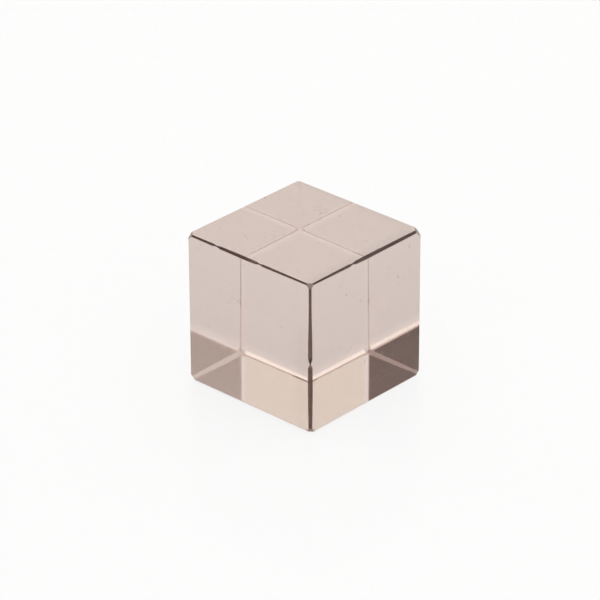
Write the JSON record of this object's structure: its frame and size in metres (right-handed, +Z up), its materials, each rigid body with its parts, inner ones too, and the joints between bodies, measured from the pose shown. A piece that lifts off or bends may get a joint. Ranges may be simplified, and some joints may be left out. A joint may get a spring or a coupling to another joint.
{
  "type": "smoky quartz cube",
  "caption": "Solid polished cube of clear brown smoky quartz with narrow ground bevels along its edges and small corner facets; a desk stone or paperweight that stands on its base.",
  "frame": {"origin": "middle of the face the cube stands on", "axes": "+Z up; the upright faces look along -X, +X, -Y and +Y, and the front upright edge is at +X -Y"},
  "size_m": [0.025, 0.025, 0.025],
  "materials": {
    "smoky_quartz": "clear, polished flat faces; brown tint that deepens with the thickness of stone"
  },
  "bodies": {
    "root": {"quartz_cube": "smoky_quartz"}
  },
  "joints": []
}
